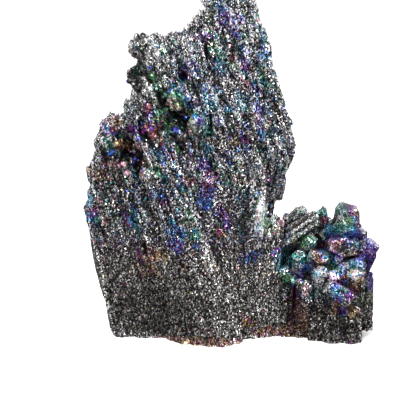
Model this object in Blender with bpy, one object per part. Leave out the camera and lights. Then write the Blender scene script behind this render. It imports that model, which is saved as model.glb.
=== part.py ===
"""A moissanite crystal cluster: one grown lump of silicon carbide, standing on its flat broken base.

It grew as leaning columns, so it is built as three bundles of columns that share one base: a tall slab,
the flank under the slab's right edge, and a low block beside them. Each bundle is laid in layers from its
front and its back inwards, and a column ends in a blunt crystal tip where it meets the bundle's envelope.
Larger crystals stand on the block, on the slab's crest and in its hollows. A Boolean union makes one solid.
Lengths are in millimetres up to the last step, which writes metres.
"""

import math
import random
from typing import Callable, NamedTuple

import bmesh
import bpy
from mathutils import Matrix, Vector

MM = 0.001
NODE = "crystal_cluster"
SEED = 19

# Driving dimensions, in millimetres: x runs right, y runs back, z runs up from the base.
HEIGHT = 121.0

# How far a column moves left for each unit that it rises, by the x where it leaves the base.
SLAB_LEANS = ((-41, 0.21), (-10, 0.36))
FLANK_LEANS = ((0, -0.10), (20, -0.14))
BLOCK_LEANS = ((12, 0.04), (46, -0.03))
LEAN_SPREAD = 0.02

# The slab's left and right edges seen from the front, as (z, x).
SLAB_LEFT = (
    (0, -42.5), (13, -46), (25, -49.6), (36, -51), (45, -51.5), (56, -51), (64, -49.5), (71, -47),
    (74, -44), (75, -41), (78, -38), (90, -36.5), (94, -34), (98, -35.5), (101, -34), (102, -29),
    (103, -21), (105, -17), (108, -14), (113, -12.5), (118, -10.5), (121, -7.5),
)
SLAB_RIGHT = (
    (0, 8), (45, 9), (54, 17.5), (60, 21.5), (66, 22.5), (79, 19), (92, 14.6), (105, 12), (111, 9),
    (117, 5.5), (119, 2.5), (121, -2),
)
# The flank's left and right edges as (z, x), and its top as (x, z).
FLANK_LEFT = ((0, 0), (72, 0))
FLANK_RIGHT = ((0, 21), (30, 18), (43, 16), (50, 17.5), (56, 19), (60, 21.5), (66, 22.5), (72, 21))
FLANK_TOP = ((0, 40), (8, 56), (21, 72))
# The block's left and right edges as (z, x), and its top as (y, z): it steps down towards the front.
BLOCK_LEFT = ((0, 14), (45, 14))
BLOCK_RIGHT = ((0, 45), (8, 44.5), (12, 45.5), (20, 44.5), (30, 43.5), (45, 42.5))
BLOCK_TOP = ((-22, 8), (-15, 10), (-8, 15), (-2, 22), (6, 31), (14, 32), (20, 23))
# The base's front and back in plan, as (x, y), under all three bundles.
BASE_FRONT = (
    (-42, -7), (-32, -7), (-23, -8), (-18, -15), (-9, -17.5), (-1, -17.5), (4, -7.5), (13, -4.5),
    (20, -7), (28, -11), (36, -16), (42, -15), (47, -8),
)
BASE_BACK = ((-42, 12), (-30, 19), (-12, 22), (4, 18), (16, 20), (30, 17), (40, 19), (47, 8))
# The slab and the flank thin as they rise, as (z, share of the base's reach from y = 0).
FRONT_SHARE = ((0, 1.0), (30, 0.92), (60, 0.85), (90, 0.6), (121, 0.32))
BACK_SHARE = ((0, 1.0), (40, 0.92), (80, 0.7), (121, 0.42))
CARRIED_UP = 0.8  # share of the columns' lean by which the base's plan moves left as the slab rises
SLAB_PLAN_END = 5  # right of this x the slab's front takes the base's front from here
FLANK_PLAN_END = 12  # and the flank's from here
FLANK_PROUD = 2  # how far the flank stands in front of that, to cover the slab's feet
# Hollows in the slab's front, where growth stopped early, as (x, z, radius, depth).
HOLLOWS = ((-19, 77, 10, 10), (-33, 63, 6.5, 6), (-10, 62, 4.5, 5), (-27, 93, 5, 4))


class Layers(NamedTuple):
    """How a bundle is laid: between which x, and each layer's spacing and share of short columns.

    A short column ends early, so that the layer behind it shows as a ledge.
    """

    x_from: float
    x_to: float
    spacings: tuple
    short_shares: tuple


SLAB_LAYERS = Layers(-40, 52, (3.9, 4.8, 6.5, 7.5), (0.6, 0.3, 0, 0))
FLANK_LAYERS = Layers(1, 21, (4.2, 6.0, 7.0), (0.2, 0, 0))
BLOCK_LAYERS = Layers(16, 46, (5.0, 6.5, 8.0), (0.3, 0, 0))

# How uneven the columns are. A pair is the least and the most, and a share is of the layer's spacing.
WIDTH_SHARE = (1.35, 1.9)
THICKNESS_SHARE = (1.4, 1.7)
STEP_SHARE = (0.8, 1.2)  # from one column to the next
DEPTH_SHARE = 0.55  # from a layer's near side to its columns' middles
SUNK_SHARE = (-0.22, 0.28)  # a column's own depth, from its layer's
SHORT_LENGTH = (0.3, 0.95)  # a short column's share of its full length
TIP_PROUD = (0, 2)  # how far a tip stands past the envelope
EDGE_SHARE = 0.4  # share of a column's width that its middle keeps from the envelope's edges
SHORTEST_COLUMN = 10.0
SCAN_STEP = 1.0  # how finely a column's line is tested against the envelope
BELOW_BASE = 3.0  # how far columns start below the base before it is cut flat
ROOTED_DEPTH = 5.0  # how far the foot of a column that starts above the base lies inside the body

# How uneven a crystal's own shape is.
SIDES = 6
CORNER_SHIFT = 0.16  # share of a side's turn by which a corner may be off
CORNER_REACH = (0.86, 1.08)
FOOT_SHARE = 1.05  # the section's size at the foot, and where the end's bevel starts
BEVEL_SHARE = 0.97
ROOTED_SHARE = 0.55  # at the foot of a column that starts above the base, which narrows into the body
END_SHARE = (0.45, 0.66)
END_TILT = 0.35
BEVEL_RISE = (0.3, 0.75)  # share of the crown
COLUMN_CROWN = 0.5  # the end's height, as a share of the width
CRYSTAL_CROWN = 0.4

# Crystals that stand out, as (name, foot, tip, width, thickness, turn in degrees).
CRYSTALS = (
    ("tower", (39.0, 6, 12), (38.8, 6, 43.6), 11.2, 9.4, 12),
    ("tower_step", (41.0, 3, 12), (42.2, 3, 36.5), 7.4, 7.4, 30),
    ("table", (36.2, -2, 8), (35.8, -2, 36.8), 15.6, 12.0, 4),
    ("leaner", (36.5, -5, 13), (45.8, -6, 33.6), 8.0, 6.8, 20),
    ("dark_stub", (31.2, 9, 14), (31.6, 9, 42.0), 8.6, 7.6, 40),
    ("grey_bump", (22.4, 8, 14), (22.6, 9, 42.0), 7.0, 7.0, 8),
    ("bump_foot", (18.6, 5, 14), (18.8, 6, 40.2), 6.6, 6.8, 33),
    ("lying_prism", (14.0, 0, 30.5), (29.8, 0, 41.2), 7.4, 6.6, 15),
    ("teal_chip", (24.6, 0, 20), (24.8, -5, 34.0), 5.8, 5.2, 0),
    ("roof_crystal", (27.4, 0, 12), (27.8, -8, 30.4), 9.0, 8.0, 25),
    ("left_chip", (22.5, 0, 14), (22.0, -7, 28.0), 6.6, 6.4, 48),
    ("cyan_chip", (39.0, -4, 12), (39.4, -10, 27.6), 5.6, 5.2, 10),
    ("violet_point", (32.0, -6, 8), (31.8, -12.5, 23.4), 5.8, 5.8, 18),
    ("gold_point", (35.2, -5, 8), (35.6, -12.5, 25.6), 6.0, 6.2, 50),
    ("blue_foot", (35.0, -7, 6), (34.4, -16, 19.4), 7.6, 6.4, 5),
    ("amber_point", (40.2, -6, 8), (40.8, -12, 24.6), 6.6, 6.4, 35),
    ("white_tooth", (28.8, -8, 4), (28.0, -13, 24.6), 5.8, 5.6, 22),
    ("long_tooth", (24.6, -7, 3), (23.2, -11.5, 20.2), 6.2, 5.8, 42),
    ("inner_chip", (19.5, -2, 8), (18.8, -7, 21.5), 6.0, 5.6, 14),
    ("right_rib", (44.0, -4, 2), (44.4, -3, 22.0), 6.8, 7.0, 7),
    ("green_plate", (-20, 4, 70), (-18.5, -9, 86), 8.5, 4.0, 20),
    ("hollow_blade", (-14, 2, 64), (-12.5, -12, 79), 7.0, 4.0, 55),
    ("hollow_floor", (-24, 2, 58), (-25.5, -12, 71), 7.0, 5.0, 10),
    ("red_blade", (-29, 4, 60), (-31, -8, 70), 6.0, 4.4, 35),
    ("shoulder_boss", (-29, 6, 82), (-31.3, 5, 101.5), 8.0, 8.0, 12),
    ("dark_boss", (-28, 5, 76), (-33.4, 3, 91), 7.4, 7.6, 40),
    ("low_boss", (-38, 4, 58), (-43.0, 2, 75), 7.4, 7.6, 25),
    ("ledge_boss", (-31, 4, 68), (-36.0, 1, 81), 6.8, 7.0, 50),
    ("crest_left", (-16, 5, 88), (-18.4, 5, 105), 6.8, 6.6, 30),
    ("peak_left", (-3, 6, 96), (-6.4, 5, 119), 7.2, 6.8, 8),
    ("peak", (3, 6, 96), (-0.8, 5, 121), 7.6, 7.0, 44),
)

BASE_CUTTER = ((-90, -60, -20), (90, 60, 0))  # the box's low and high corners
SAME_PLANE = math.radians(1.5)  # faces closer than this become one before they are cut into triangles

# Silicon carbide: dark grey, with a half-metallic gloss.
CARBIDE_COLOUR = (0.105, 0.105, 0.12)
CARBIDE_METALLIC = 0.7
CARBIDE_ROUGHNESS = 0.32


class Envelope(NamedTuple):
    """The space that a bundle fills: x edges by height, front and back by (x, z), a top by (x, y)."""

    left: tuple
    right: tuple
    front: Callable
    back: Callable
    top: Callable
    hollows: tuple = ()


def at(profile, where):
    """The profile's value there, on straight lines between its points."""
    if where <= profile[0][0]:
        return profile[0][1]
    for (a, low), (b, high) in zip(profile, profile[1:]):
        if where <= b:
            return low + (high - low) * (where - a) / (b - a)
    return profile[-1][1]


def carried(x, z):
    """The x on the base under a point of the slab, back along the columns."""
    return x + at(SLAB_LEANS, x) * z * CARRIED_UP


SLAB = Envelope(
    left=SLAB_LEFT,
    right=SLAB_RIGHT,
    front=lambda x, z: at(BASE_FRONT, min(carried(x, z), SLAB_PLAN_END)) * at(FRONT_SHARE, z),
    back=lambda x, z: at(BASE_BACK, carried(x, z)) * at(BACK_SHARE, z),
    top=lambda x, y: HEIGHT,
    hollows=HOLLOWS,
)
FLANK = Envelope(
    left=FLANK_LEFT,
    right=FLANK_RIGHT,
    front=lambda x, z: at(BASE_FRONT, min(x, FLANK_PLAN_END)) * at(FRONT_SHARE, z) - FLANK_PROUD,
    back=lambda x, z: at(BASE_BACK, x) * at(BACK_SHARE, z),
    top=lambda x, y: at(FLANK_TOP, x),
)
BLOCK = Envelope(
    left=BLOCK_LEFT,
    right=BLOCK_RIGHT,
    front=lambda x, z: at(BASE_FRONT, x),
    back=lambda x, z: at(BASE_BACK, x),
    top=lambda x, y: at(BLOCK_TOP, y),
)


def crystal(foot, tip, width, thickness, turn, rng, crown, foot_share=FOOT_SHARE):
    """A closed six-sided crystal from foot to tip, a little uneven, with a bevelled and tilted end."""
    foot, tip = Vector(foot), Vector(tip)
    along = (tip - foot).normalized()
    frame = along.to_track_quat("Z", "Y").to_matrix() @ Matrix.Rotation(math.radians(turn), 3, "Z")
    corners = []
    for k in range(SIDES):
        angle = math.tau * (k + rng.uniform(-CORNER_SHIFT, CORNER_SHIFT)) / SIDES
        reach = rng.uniform(*CORNER_REACH) / 2
        corners.append(frame @ Vector((math.cos(angle) * width * reach, math.sin(angle) * thickness * reach, 0)))
    tilt = frame @ Vector((rng.uniform(-END_TILT, END_TILT), rng.uniform(-END_TILT, END_TILT), 0))
    bevel = tip - along * crown * width * rng.uniform(*BEVEL_RISE)
    rings = ((foot, foot_share, 0), (bevel, BEVEL_SHARE, 0), (tip, rng.uniform(*END_SHARE), 1))
    mesh = bmesh.new()
    levels = []
    for centre, share, tilted in rings:
        points = [centre + (corner + along * corner.dot(tilt) * tilted) * share for corner in corners]
        levels.append([mesh.verts.new(point) for point in points])
    for low, high in zip(levels, levels[1:]):
        for k in range(SIDES):
            after = (k + 1) % SIDES
            mesh.faces.new((low[k], low[after], high[after], high[k]))
    mesh.faces.new(reversed(levels[0]))
    mesh.faces.new(levels[-1])
    return mesh


def in_hollow(hollows, x, z, depth):
    """Whether a front layer at this depth is dented away there."""
    for hollow_x, hollow_z, radius, deepest in hollows:
        far = ((x - hollow_x) ** 2 + (z - hollow_z) ** 2) / radius**2
        if depth < deepest * (1 - far):
            return True
    return False


def column_runs(space, base_x, lean, depth, from_back, margin):
    """The stretches of a leaning column's line that lie inside the envelope, as lists of points."""
    runs = [[]]
    for step in range(int(HEIGHT / SCAN_STEP) + 1):
        z = step * SCAN_STEP
        x = base_x - lean * z
        front, back = space.front(x, z), space.back(x, z)
        middle = (front + back) / 2
        if from_back:
            y = back - depth
            inside = y >= middle - margin
        else:
            y = front + depth
            inside = y <= middle + margin and not in_hollow(space.hollows, x, z, depth)
        inside = inside and at(space.left, z) + margin < x < at(space.right, z) - margin
        if inside and z < space.top(x, y):
            runs[-1].append(Vector((x, y, z)))
        elif runs[-1]:
            runs.append([])
    return [run for run in runs if run and run[-1].z - run[0].z >= SHORTEST_COLUMN]


def column(run, inwards, width, thickness, is_short, rng):
    """One column along a run of points. It starts below the base, or inside the body if higher up."""
    foot, tip = run[0], run[-1]
    if is_short:
        tip = run[int(len(run) * rng.uniform(*SHORT_LENGTH))]
    along = (tip - foot).normalized()
    foot_share = FOOT_SHARE
    if foot.z < SCAN_STEP:
        foot = foot - along * BELOW_BASE
    else:
        foot = foot + Vector((0, inwards * ROOTED_DEPTH, 0))
        foot_share = ROOTED_SHARE
    tip = tip + along * rng.uniform(*TIP_PROUD)
    turn = rng.uniform(0, 360 / SIDES)
    return crystal(foot, tip, width, thickness, turn, rng, COLUMN_CROWN, foot_share)


def bundle(space, leans, layers, rng):
    """The columns of one bundle, layer by layer inwards from the front and then from the back."""
    made = []
    for from_back in (False, True):
        near_side = 0.0
        for spacing, short_share in zip(layers.spacings, layers.short_shares):
            x = layers.x_from + rng.uniform(0, 0.5) * spacing
            while x < layers.x_to:
                width = spacing * rng.uniform(*WIDTH_SHARE)
                thickness = spacing * rng.uniform(*THICKNESS_SHARE)
                lean = at(leans, x) + rng.uniform(-LEAN_SPREAD, LEAN_SPREAD)
                depth = near_side + (DEPTH_SHARE + rng.uniform(*SUNK_SHARE)) * spacing
                for run in column_runs(space, x, lean, depth, from_back, width * EDGE_SHARE):
                    is_short = rng.random() < short_share
                    made.append(column(run, -1 if from_back else 1, width, thickness, is_short, rng))
                x += spacing * rng.uniform(*STEP_SHARE)
            near_side += spacing
    return made


def add_object(name, mesh, collection):
    """The bmesh as a named object, marked as a helper."""
    bmesh.ops.recalc_face_normals(mesh, faces=mesh.faces)
    data = bpy.data.meshes.new(name)
    mesh.to_mesh(data)
    mesh.free()
    obj = bpy.data.objects.new(name, data)
    obj.hide_render = True
    obj.display_type = "WIRE"
    collection.objects.link(obj)
    return obj


def box(low, high):
    """A closed box between two corners."""
    mesh = bmesh.new()
    bmesh.ops.create_cube(mesh, size=1)
    low, high = Vector(low), Vector(high)
    place = Matrix.Translation((low + high) / 2) @ Matrix.Diagonal((*(high - low), 1))
    bmesh.ops.transform(mesh, matrix=place, verts=mesh.verts)
    return mesh


def grown_together(pieces, cutter):
    """One mesh: the union of the collection's pieces, cut flat by the cutter."""
    body = bpy.data.objects.new("grown", bpy.data.meshes.new("grown"))
    bpy.context.scene.collection.objects.link(body)
    union = body.modifiers.new("grown_together", "BOOLEAN")
    union.operation = "UNION"
    union.operand_type = "COLLECTION"
    union.collection = pieces
    base = body.modifiers.new("flat_base", "BOOLEAN")
    base.operation = "DIFFERENCE"
    base.object = cutter
    graph = bpy.context.evaluated_depsgraph_get()
    mesh = bmesh.new()
    mesh.from_mesh(bpy.data.meshes.new_from_object(body.evaluated_get(graph)))
    return mesh


def keep_outer_skin(mesh):
    """Drops sealed voids and loose chips: only the largest connected shell stays."""
    unseen = set(mesh.verts)
    shells = []
    while unseen:
        shell = []
        growing = [unseen.pop()]
        while growing:
            vert = growing.pop()
            shell.append(vert)
            for edge in vert.link_edges:
                other = edge.other_vert(vert)
                if other in unseen:
                    unseen.discard(other)
                    growing.append(other)
        shells.append(shell)
    shells.sort(key=len)
    for shell in shells[:-1]:
        bmesh.ops.delete(mesh, geom=shell, context="VERTS")


def centre_in_plan(mesh):
    """Moves the mesh so that the middle of its box is over the origin, and turns it to metres."""
    xs = [vert.co.x for vert in mesh.verts]
    ys = [vert.co.y for vert in mesh.verts]
    middle = Vector(((min(xs) + max(xs)) / 2, (min(ys) + max(ys)) / 2, 0))
    to_metres = Matrix.Scale(MM, 4) @ Matrix.Translation(-middle)
    bmesh.ops.transform(mesh, matrix=to_metres, verts=mesh.verts)


def silicon_carbide():
    """The crystals' material: dark grey and half metallic."""
    material = bpy.data.materials.new("silicon_carbide")
    material.use_nodes = True
    shader = material.node_tree.nodes["Principled BSDF"]
    shader.inputs["Base Color"].default_value = (*CARBIDE_COLOUR, 1)
    shader.inputs["Metallic"].default_value = CARBIDE_METALLIC
    shader.inputs["Roughness"].default_value = CARBIDE_ROUGHNESS
    return material


def main():
    rng = random.Random(SEED)
    for obj in list(bpy.data.objects):
        bpy.data.objects.remove(obj)
    scene_collection = bpy.context.scene.collection
    growth = bpy.data.collections.new("growth")
    scene_collection.children.link(growth)
    meshes = bundle(SLAB, SLAB_LEANS, SLAB_LAYERS, rng)
    meshes += bundle(FLANK, FLANK_LEANS, FLANK_LAYERS, rng)
    meshes += bundle(BLOCK, BLOCK_LEANS, BLOCK_LAYERS, rng)
    for number, mesh in enumerate(meshes):
        add_object(f"column_{number}", mesh, growth)
    for name, foot, tip, width, thickness, turn in CRYSTALS:
        mesh = crystal(foot, tip, width, thickness, turn, rng, CRYSTAL_CROWN)
        add_object(name, mesh, growth)
    cutter = add_object("base_cutter", box(*BASE_CUTTER), scene_collection)
    skin = grown_together(growth, cutter)
    keep_outer_skin(skin)
    bmesh.ops.dissolve_limit(skin, angle_limit=SAME_PLANE, verts=skin.verts, edges=skin.edges)
    bmesh.ops.triangulate(skin, faces=skin.faces)
    centre_in_plan(skin)
    for obj in list(bpy.data.objects):
        bpy.data.objects.remove(obj)
    cluster = add_object(NODE, skin, scene_collection)
    cluster.hide_render = False
    cluster.display_type = "TEXTURED"
    cluster.data.materials.append(silicon_carbide())


main()
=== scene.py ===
"""Looks of the moissanite crystal cluster: its fine crystals, dark gloss and rainbow tarnish.

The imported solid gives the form. Over it come two crusts, the slab's and the low block's, which are the
solid's own surface, filled where the growth is close and roughened along it. The block's crust takes in
its large crystals, and coats of small crystals stand on both. Lengths are in millimetres, in the frame's
axes, until a mesh is made.
"""

import math
from typing import NamedTuple

import bmesh
import bpy
import numpy as np
from mathutils import Matrix, Vector, noise
from mathutils.bvhtree import BVHTree


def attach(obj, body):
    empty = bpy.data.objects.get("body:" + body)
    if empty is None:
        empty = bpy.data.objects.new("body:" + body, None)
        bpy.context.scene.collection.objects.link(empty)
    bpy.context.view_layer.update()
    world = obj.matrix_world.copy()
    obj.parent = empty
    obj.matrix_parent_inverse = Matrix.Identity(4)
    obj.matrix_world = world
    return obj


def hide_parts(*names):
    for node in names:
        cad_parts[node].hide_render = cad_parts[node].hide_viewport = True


MM = 0.001
NODE = "crystal_cluster"
BODY = "root"
SEED = 11

# Camera and stage.
ELEVATION = math.radians(12)
DISTANCE = 550
TARGET = (-10.2, -2.2, 46.9)
SENSOR = 36
MM_PER_PIXEL = 0.34
FRAME_PIXELS = 400
NEAREST = 0.01  # the nearest that the camera sees, in metres
FURTHEST = 20  # and the furthest
FLOOR_HALF = 4.0  # in metres
FLOOR_COLOUR = "#fcfcfc"
FLOOR_ROUGHNESS = 0.9
AROUND = 1.06  # strength of the white all round
AROUND_REFLECTED = 0.1  # and as the crystals reflect it
REFLECTED_WHITE = (0.95, 0.97, 1, 1)  # linear
SOFTBOX_MIDDLE = (0, 0, 55)
SOFTBOX_DISTANCE = 700
SOFTBOXES = (  # name, azimuth, elevation, size, power in watts
    ("key", -20, 38, 260, 9),
    ("fill", 35, 15, 220, 3),
    ("top", 5, 75, 300, 1),
    ("rim", 150, 15, 300, 1.5),
    ("back", -150, 15, 300, 1.5),
)

# The face that the marks are laid out on: they are placed by x, and by the height at which they are
# seen from the front, ELEVATION above level, over the front edge of the base.
FRONT_EDGE = -21.5

# Growth: how far columns move left for each unit that they rise, by their x at the base.
SLAB_LEANS = ((-41, 0.2), (-10, 0.3))
FOLLOWED_DOWN = 0.3  # the lean along which a column is followed down to its x at the base
FLANK_LEAN = -0.1
FLANK_TOP = ((0, 40), (8, 56), (21, 72))
BLOCK_TOP = ((17.5, 45), (24, 46), (27, 60))  # the low block's top edge, from its left side, as (x, z)
BLOCK_LEFT = BLOCK_TOP[0][0]
BLOCK_BASE = 13  # top of the block's striped foot, under its large crystals
FRONT_END = 8  # pits and painted highlight faces are in front of this y only
OVERLAP = 1.5  # how far the slab's and the block's crusts run into each other
FAR = 90  # past the solid on every side
SAME_POINT = 0.001  # points closer than this are one
FACET_ANGLE = 0.02  # in radians: faces that meet flatter than this are one facet
FACET_PAINTED_LIGHT = (-0.06, 0.0, 0.16)  # painted light: how a facet's shade goes with its direction, lighter turned up and to the left
FACET_SHADE = 0.14  # and how much it differs by chance


class Crust(NamedTuple):
    """A crust's mesh step, its part of the solid, and its relief, as rows of a noise's size across the
    growth, its size along it, and its height."""

    step: float
    keeps: str  # INTERSECT for what is in the block, DIFFERENCE for the rest
    overlap: float
    relief: tuple
    grooves: tuple  # rows of smoothings, the depth that they find, and its share of the painted shade in grooves and light on ridges
    proud: float  # how far the whole crust stands out of the solid


SLAB_RELIEF = ((6, 16, 0.35), (2.2, 12, 0.32), (1.1, 5, 0.22), (0.8, 1.4, 0.12))
BLOCK_RELIEF = ((3, 6, 0.06), (0.7, 1.2, 0.1))
CRUSTS = {
    "slab_crust": Crust(0.62, "DIFFERENCE", 0, SLAB_RELIEF, ((150, 1.3, 1),), 0.35),
    "block_crust": Crust(0.38, "INTERSECT", OVERLAP, BLOCK_RELIEF, ((5, 0.12, 0.55), (60, 1.2, 0.9)), 0.12),
}
FACET_RELIEF = 0.2  # share of the relief on the block's large facets
NOISE_GAIN = 2  # the noise seldom passes half of its range
RELIEF_LIMITS = (-1.1, 0.7)
FILL = ((0, 0.9), (60, 0.85), (85, 0.7))  # share by which grooves are grown full, by height
FLATTEN = 0.7  # share by which ridges on the front are worn down to the smooth surface
FLATTEN_TURN = 1.6  # how fast that grows as a face turns to the front
FLATTEN_START = 0.5  # what is taken off first, so that other faces keep theirs
BLOCK_FILL = ((8, 0.6), (15, 0))
STRIPE = (2.0, 10.0, 25)  # gaps between columns, cut in and painted with shade: a noise's size across the growth, along it, its place
STRIPE_WIDTH = 0.3
STRIPE_STRENGTH = ((25, 0.15), (55, 1))  # by height
BLOCK_STRIPE_STRENGTH = 0.4
STRIPE_DEPTH = 1.2

# The hollow in the slab's middle and the lobe above it, where large crystals stand free, as (x, height,
# half width, half length).
FREE = ((-20, 76, 11, 12), (-30, 96, 7, 14), (-36, 66, 9, 10))
FREE_END = 12  # they stand in front of this y
FREE_UNFILLED = 0.8  # share of the grooves' filling that is missing there
FREE_TRIES = 30000  # spots, of which up to FREE_CHANCE are kept
FREE_CHANCE = 0.14
FREE_FACING = 0.3  # only on faces whose normal has less y than this
FREE_OUT = (0.1, 1.2)  # how far they turn out of the surface
FREE_SPREAD = 0.45
FREE_WIDTH = (0.9, 2.6)
FREE_LENGTH = (0.7, 1.6)  # share of the width
FREE_SUNK = 0.15  # share of the width
FREE_CORNER = 0.15  # share of a side by which a corner may be off
FREE_RINGS = ((0.5, 0), (1.0, 0.25), (1.0, 0.8), (0.55, 1.0))  # share of the width, and of the length
CRYSTAL_SIDES = 6
CRYSTAL_TOP = 0.44  # a large crystal's radius at the top, as a share of its width; at the foot it is half

# The block's large crystals: six-sided, with flat ends, as (x, height, width, share of the width that they
# are deep, length, how far their tops lean right and how far towards the front in degrees).
LARGE_CRYSTALS = (
    (40.4, 42.2, 8.8, 0.9, 11.0, -3, 12),
    (37.8, 39.5, 10.5, 0.8, 12.0, 40, 35),
    (38.3, 34.0, 12.0, 0.62, 4.5, 8, 82),
    (44.6, 30.3, 6.4, 0.85, 13.5, 33, 8),
    (41.3, 28.0, 4.6, 0.9, 6.0, 62, 25),
    (29.8, 30.6, 7.6, 0.6, 2.6, 25, 74),
    (26.9, 35.0, 4.4, 0.9, 6.0, 20, 40),
    (23.4, 30.5, 5.4, 0.8, 4.5, -20, 58),
    (30.6, 23.4, 5.6, 0.9, 8.0, -12, 22),
    (34.3, 23.4, 5.0, 0.9, 6.0, 12, 48),
    (37.2, 24.3, 4.2, 0.9, 9.0, 12, 15),
    (41.9, 23.6, 6.6, 0.9, 7.5, -8, 26),
    (36.0, 19.0, 6.0, 0.9, 9.5, -55, 10),
    (37.0, 29.0, 3.6, 0.9, 5.0, -15, 40),
    (26.4, 37.8, 2.2, 1.0, 8.0, 56, 8),
    (25.6, 39.4, 2.0, 1.0, 11.0, 58, 0),
    (24.7, 41.0, 2.2, 1.0, 13.0, 55, 4),
    (23.6, 42.4, 1.9, 1.0, 11.5, 58, 0),
    (22.4, 43.8, 2.2, 1.0, 8.0, 53, 5),
    (24.0, 44.2, 4.6, 0.9, 6.0, 4, 10),
    (32.6, 43.2, 5.0, 0.9, 7.5, -20, 12),
    (24.6, 18.8, 3.2, 0.9, 10.0, -24, 10),
    (27.8, 17.0, 3.0, 0.9, 9.0, -20, 10),
)

# Places where the crust is pressed in or drawn out, as (x, height, half width, half length, shift in x,
# shift in z).
PRESSED = (
    (-19, 109, 8, 5, 0, -1.5),
    (-32, 96.5, 3, 1.6, 1.8, 0),
    (-35, 92, 4, 3, -0.8, 0),
    (-33.5, 86, 4, 2.6, 1.5, 0),
    (-38, 82, 3, 3, 0, -1.6),
    (12, 104, 5, 5, 1.3, 0),
    (8.5, 114, 4, 3.5, 0.6, 1.6),
    (34.7, 46, 1.6, 4, 0, -3.5),
    (46.5, 28, 5, 4, 1.2, 0),
    (-9.5, 116.5, 3, 2, -1.0, 0.5),
)


class Coat(NamedTuple):
    """Fine crystals over a crust: double pyramids on a polygon of this many sides."""

    crust: str
    heights: tuple  # how closely they stand, by height
    count: int
    sides: int
    width: tuple
    length: tuple
    sunk: float  # share of the width
    lean: float  # how closely they follow the growth
    proud: float  # how far they turn out of the surface


SPINDLES = Coat("slab_crust", ((20, 0.1), (50, 1)), 17000, 4, (0.35, 0.65), (1.2, 3.2), 0.3, 1.0, 0.12)
FINE_SPINDLES = Coat("slab_crust", ((20, 0.3), (50, 1)), 42000, 3, (0.3, 0.5), (0.8, 2.0), 0.2, 0.9, 0.15)
GRAINS = Coat("slab_crust", ((20, 1), (60, 0.2)), 32000, 3, (0.3, 0.5), (0.3, 0.55), 0.15, 0.2, 0.5)
SUGAR = Coat("block_crust", ((13, 1), (16, 0.4)), 14000, 3, (0.26, 0.38), (0.26, 0.38), 0.45, 0.2, 0.3)
COATS = {"spindles": SPINDLES, "fine_spindles": FINE_SPINDLES, "grains": GRAINS, "sugar": SUGAR}
LOW_LENGTH = ((12, 0.45), (55, 1.0))  # share of the spindles' length, by height
FRONT_FACING = 0.2  # faces whose normal has less y than this count as the front
FRONT_MORE = 1.6  # how much closer crystals stand on the front
LOWEST_SPOT = 0.4
LOWEST_POINT = 0.02
COAT_MISSING = 0.9  # share of a coat that is missing in a gap, in a pit and on a painted highlight face
COAT_FREE = 0.6  # how far a place with large free crystals counts as one
COAT_OUT = (0.1, 1)  # share of Coat.proud
COAT_SPREAD = (0.06, 0.5)  # how far axes stray by chance: at least, and what is added without any lean
COAT_FOOT = (0.4, 0.6)  # share of the length that is below the spot
CORNER_SHIFT = 0.2  # share of a side by which a corner may be off
CORNER_REACH = (0.75, 1.1)
WIDEST_AT = (0.35, 0.65)  # share of the length

# Film colours, from a thin film of oxide to a thick one.
FILMS = {
    "straw": "#d8c088",
    "bronze": "#9a5f2c",
    "maroon": "#7c2440",
    "magenta": "#b13aa8",
    "violet": "#5433ac",
    "blue": "#2450c8",
    "cyan": "#30aadc",
    "teal": "#16908e",
    "green": "#2f9a6c",
    "lime": "#a8c88a",
    "pink": "#d890ac",
}

FILM_SPREAD = 0.08  # how much the film's place in FILMS differs from one grain to the next
GRAIN = 0.28  # width of a cell in the finish, a face of a fine crystal, which is 0.5 to 0.85 wide
GRAIN_TURN = math.radians(16)  # about the slab's lean
GRAIN_SQUEEZE = 0.65  # cells are longer along the growth: their width is this share of their length
SHADE_REACH = 0.8  # how far a cell's own shade goes to either side
GLINTS_WITHOUT_FILM = (-3.0, 3.8)  # share of the film by the shade, as factor and sum: the lightest faces, painted glints, have none
METALLIC = 0.7
ROUGHNESS = 0.18  # the smoothest cell's
ROUGHNESS_RANGE = 0.25
TILT = 1.2  # how strongly each face is tilted, as the distance of the bump

# The grains' shades, from the darkest grain to the lightest, bare and as what a film's colour is
# multiplied by. Each grain's shade differs at random; the near-white lightest ones are painted glints.
GREYS = (
    (0.0, "#030303"),
    (0.12, "#101010"),
    (0.28, "#242322"),
    (0.5, "#464443"),
    (0.72, "#747270"),
    (0.88, "#b0aead"),
    (1.0, "#f8f8f8"),
)
FILM_GREYS = ((0.0, "#1c1c1c"), (0.2, "#747474"), (0.42, "#c4c4c4"), (0.62, "#ffffff"))

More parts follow.
